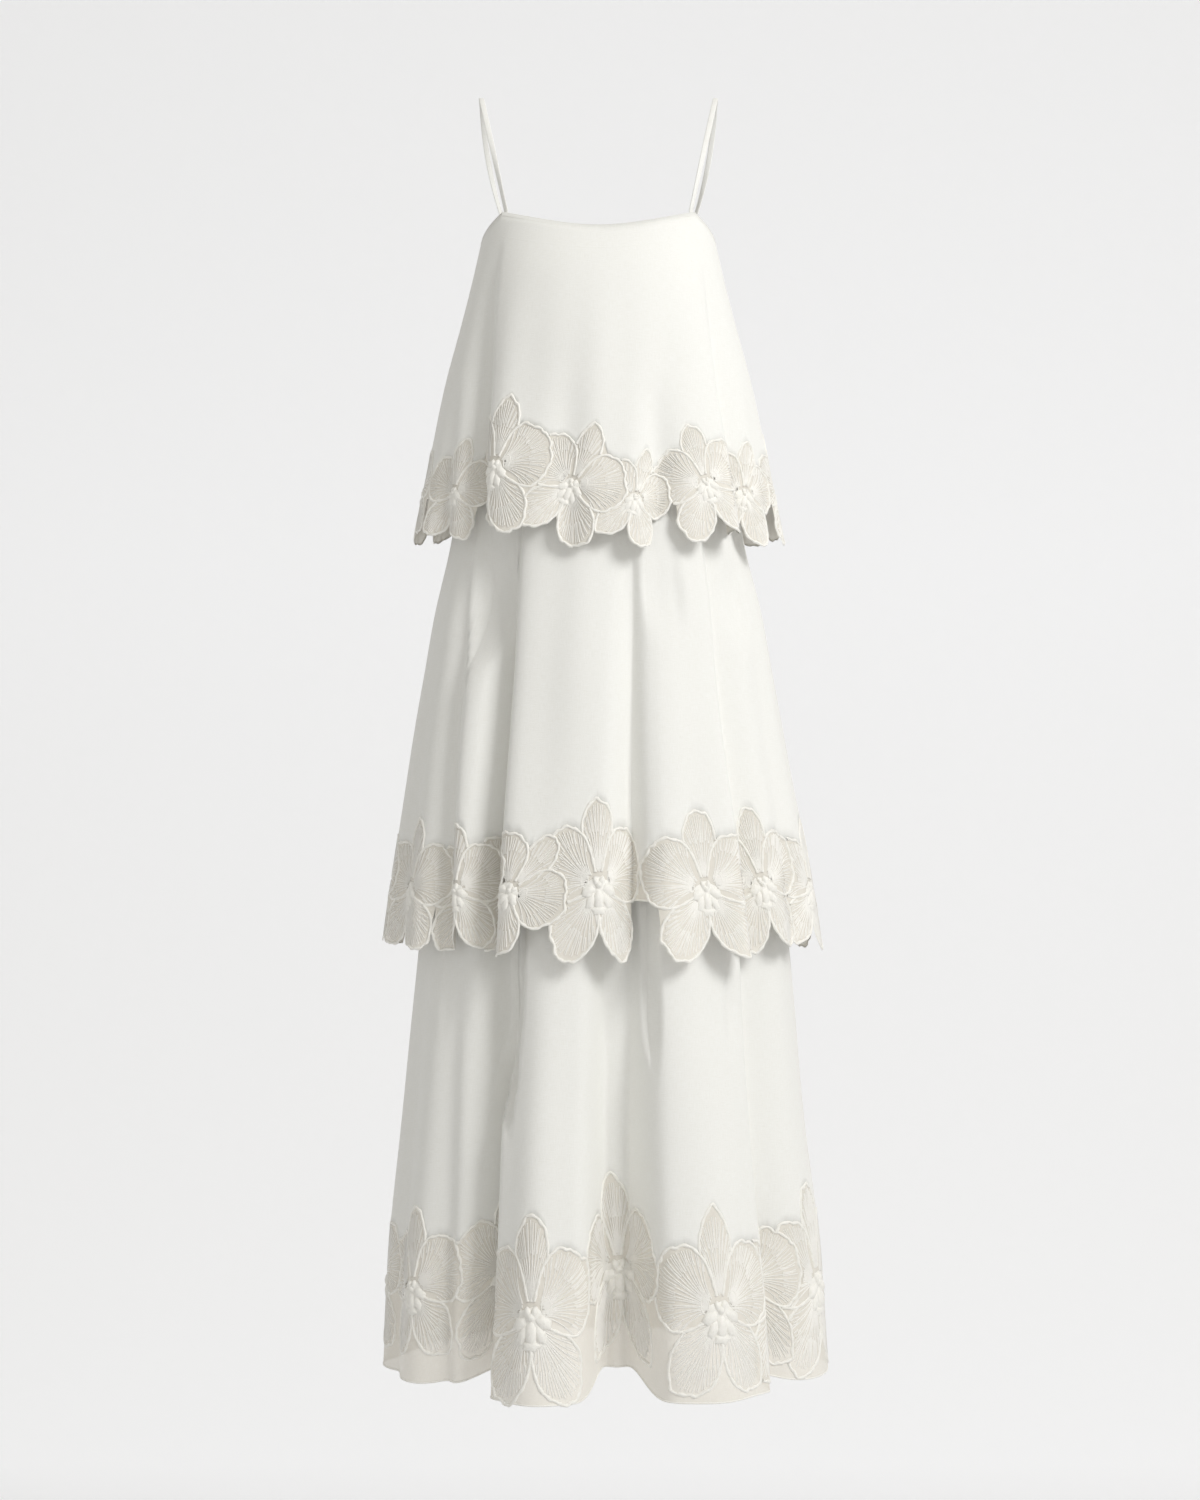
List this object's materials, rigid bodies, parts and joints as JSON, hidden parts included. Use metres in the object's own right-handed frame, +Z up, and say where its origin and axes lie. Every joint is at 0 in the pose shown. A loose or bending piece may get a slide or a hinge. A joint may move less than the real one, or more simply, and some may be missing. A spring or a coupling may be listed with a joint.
{
  "type": "maxi dress",
  "caption": "Sleeveless A-line maxi dress in overlapping linen tiers with sheer orchid-embroidered hem borders and thin shoulder straps.",
  "frame": {"origin": "middle of the shoulder line, halfway between the tops of the two straps", "axes": "+Z up along the hanging dress, front of the dress towards -Y, wearer's left towards +X"},
  "size_m": [0.498, 0.4025, 1.4147],
  "materials": {
    "linen": "matte woven",
    "organza": "sheer organza with satin stitched cords",
    "strap_linen": "matte woven"
  },
  "bodies": {
    "root": {"top_tier_front": "linen", "top_tier_back": "linen", "top_border_front": "organza", "top_border_back": "organza", "middle_tier_front": "linen", "middle_tier_back": "linen", "middle_border_front": "organza", "middle_border_back": "organza", "bottom_tier_front": "linen", "bottom_tier_back": "linen", "bottom_border_front": "organza", "bottom_border_back": "organza", "strap_left": "strap_linen", "strap_right": "strap_linen"}
  },
  "joints": []
}
